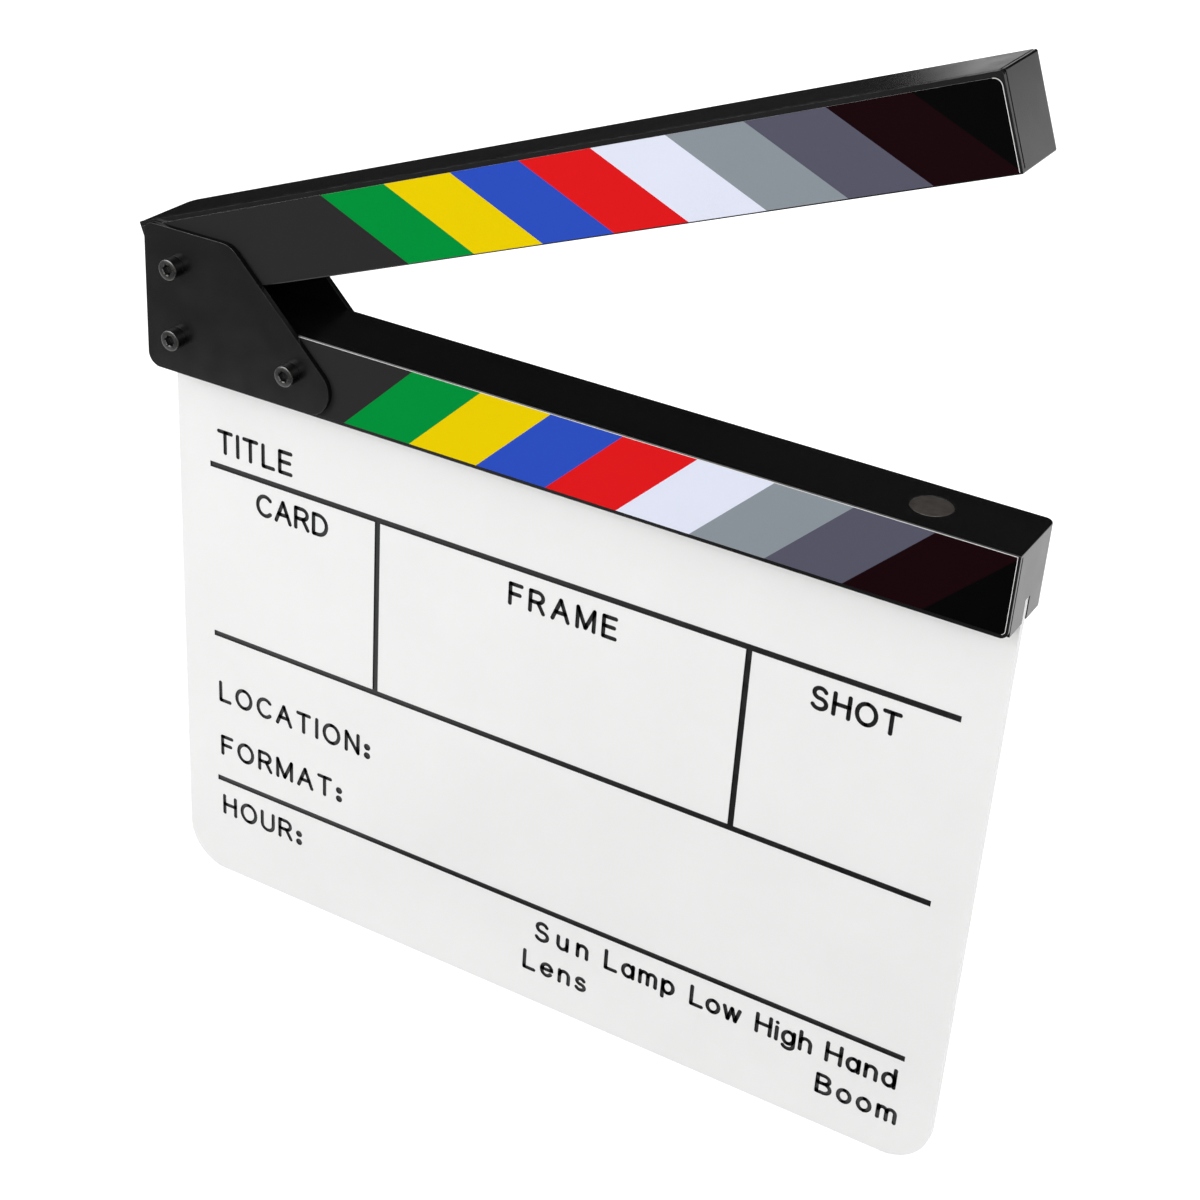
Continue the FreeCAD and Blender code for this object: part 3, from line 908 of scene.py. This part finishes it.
def seen_directly(nodes, links, strength):
    """Strength for camera, glossy and transmission rays, and 0 for the others."""
    path = nodes.new("ShaderNodeLightPath")
    first = nodes.new("ShaderNodeMath")
    first.operation = "MAXIMUM"
    links.new(path.outputs["Is Camera Ray"], first.inputs[0])
    links.new(path.outputs["Is Glossy Ray"], first.inputs[1])
    second = nodes.new("ShaderNodeMath")
    second.operation = "MAXIMUM"
    links.new(first.outputs["Value"], second.inputs[0])
    links.new(path.outputs["Is Transmission Ray"], second.inputs[1])
    scaled = nodes.new("ShaderNodeMath")
    scaled.operation = "MULTIPLY"
    links.new(second.outputs["Value"], scaled.inputs[0])
    scaled.inputs[1].default_value = strength
    return scaled.outputs["Value"]


def make_floor():
    """Pale floor that is white to the camera and in reflections, and keeps the object's shadow."""
    mesh = bmesh.new()
    bmesh.ops.create_grid(mesh, x_segments=1, y_segments=1, size=floor_reach)
    data = bpy.data.meshes.new("floor")
    mesh.to_mesh(data)
    mesh.free()
    floor = bpy.data.objects.new("floor", data)
    bpy.context.scene.collection.objects.link(floor)
    material = bpy.data.materials.new("pale_floor")
    material.use_nodes = True
    nodes = material.node_tree.nodes
    links = material.node_tree.links
    nodes.remove(nodes["Principled BSDF"])
    diffuse = nodes.new("ShaderNodeBsdfDiffuse")
    diffuse.inputs["Color"].default_value = (floor_tone, floor_tone, floor_tone, 1.0)
    glow = nodes.new("ShaderNodeEmission")
    links.new(seen_directly(nodes, links, floor_glow), glow.inputs["Strength"])
    both = nodes.new("ShaderNodeAddShader")
    links.new(diffuse.outputs["BSDF"], both.inputs[0])
    links.new(glow.outputs["Emission"], both.inputs[1])
    links.new(both.outputs["Shader"], nodes["Material Output"].inputs["Surface"])
    data.materials.append(material)


def make_world():
    """White surroundings, and a softer fill on the object."""
    world = bpy.data.worlds.new("studio")
    world.use_nodes = True
    bpy.context.scene.world = world
    nodes = world.node_tree.nodes
    links = world.node_tree.links
    background = nodes["Background"]
    background.inputs["Color"].default_value = (1.0, 1.0, 1.0, 1.0)
    level = nodes.new("ShaderNodeMath")
    level.operation = "MAXIMUM"
    links.new(seen_directly(nodes, links, world_glow), level.inputs[0])
    level.inputs[1].default_value = world_fill
    links.new(level.outputs["Value"], background.inputs["Strength"])


def make_lamp(name, place, size, power, reflected):
    """Soft square lamp towards the object, which glossy surfaces show or not."""
    data = bpy.data.lights.new(name, "AREA")
    data.shape = "SQUARE"
    data.size = size
    data.energy = power
    lamp = bpy.data.objects.new(name, data)
    lamp.location = place
    lamp.rotation_euler = (Vector(lamp_target) - Vector(place)).to_track_quat("-Z", "Y").to_euler()
    lamp.visible_glossy = reflected
    bpy.context.scene.collection.objects.link(lamp)


def make_card(name, corners, tone):
    """Grey card that only reflections see."""
    data = bpy.data.meshes.new(name)
    data.from_pydata(corners, [], [(0, 1, 2, 3)])
    card = bpy.data.objects.new(name, data)
    bpy.context.scene.collection.objects.link(card)
    material = bpy.data.materials.new(name)
    material.use_nodes = True
    shader = material.node_tree.nodes["Principled BSDF"]
    shader.inputs["Base Color"].default_value = (tone, tone, tone, 1.0)
    shader.inputs["Roughness"].default_value = card_roughness
    data.materials.append(material)
    card.visible_camera = False
    card.visible_diffuse = False
    card.visible_shadow = False


def make_level_card(name, left, right, front, back, height, tone):
    """Card that lies level."""
    corners = [(left, front, height), (right, front, height), (right, back, height), (left, back, height)]
    make_card(name, corners, tone)


def make_upright_card(name, left, right, depth, foot, top, tone):
    """Card that stands across the view."""
    corners = [(left, depth, foot), (right, depth, foot), (right, depth, top), (left, depth, top)]
    make_card(name, corners, tone)


def make_cards():
    """Dark cards above, behind and to the left of the object, and grey ones on the floor before it."""
    make_level_card("ceiling_card", -card_reach, card_reach, ceiling_front, back_wall, card_top, black_tone)
    make_upright_card("back_card", -card_reach, card_reach, back_wall, back_wall_foot, card_top, black_tone)
    make_upright_card("left_card", -card_reach, left_wall_end, left_wall, 0.0, card_top, left_wall_tone)
    make_level_card("left_floor_card", -card_reach, left_floor_end, left_floor_front, left_wall,
                    card_lift, black_tone)
    make_level_card("front_card", -card_reach, near_floor_end, -card_reach, front_floor_back,
                    card_lift, front_floor_tone)
    make_level_card("right_card", right_floor_start, near_floor_end, front_floor_back, right_floor_back,
                    card_lift, right_floor_tone)


def make_camera():
    """Camera at the photograph's viewing angle."""
    data = bpy.data.cameras.new("camera")
    data.lens = camera_lens
    data.sensor_width = camera_sensor
    camera = bpy.data.objects.new("camera", data)
    camera.location = camera_place
    camera.rotation_euler = [math.radians(angle) for angle in camera_turn]
    bpy.context.scene.collection.objects.link(camera)
    bpy.context.scene.camera = camera


make_floor()
make_world()
for name, place, size, power, reflected in lamps:
    make_lamp(name, place, size, power, reflected)
make_cards()
make_camera()
bpy.context.scene.view_settings.view_transform = "Standard"
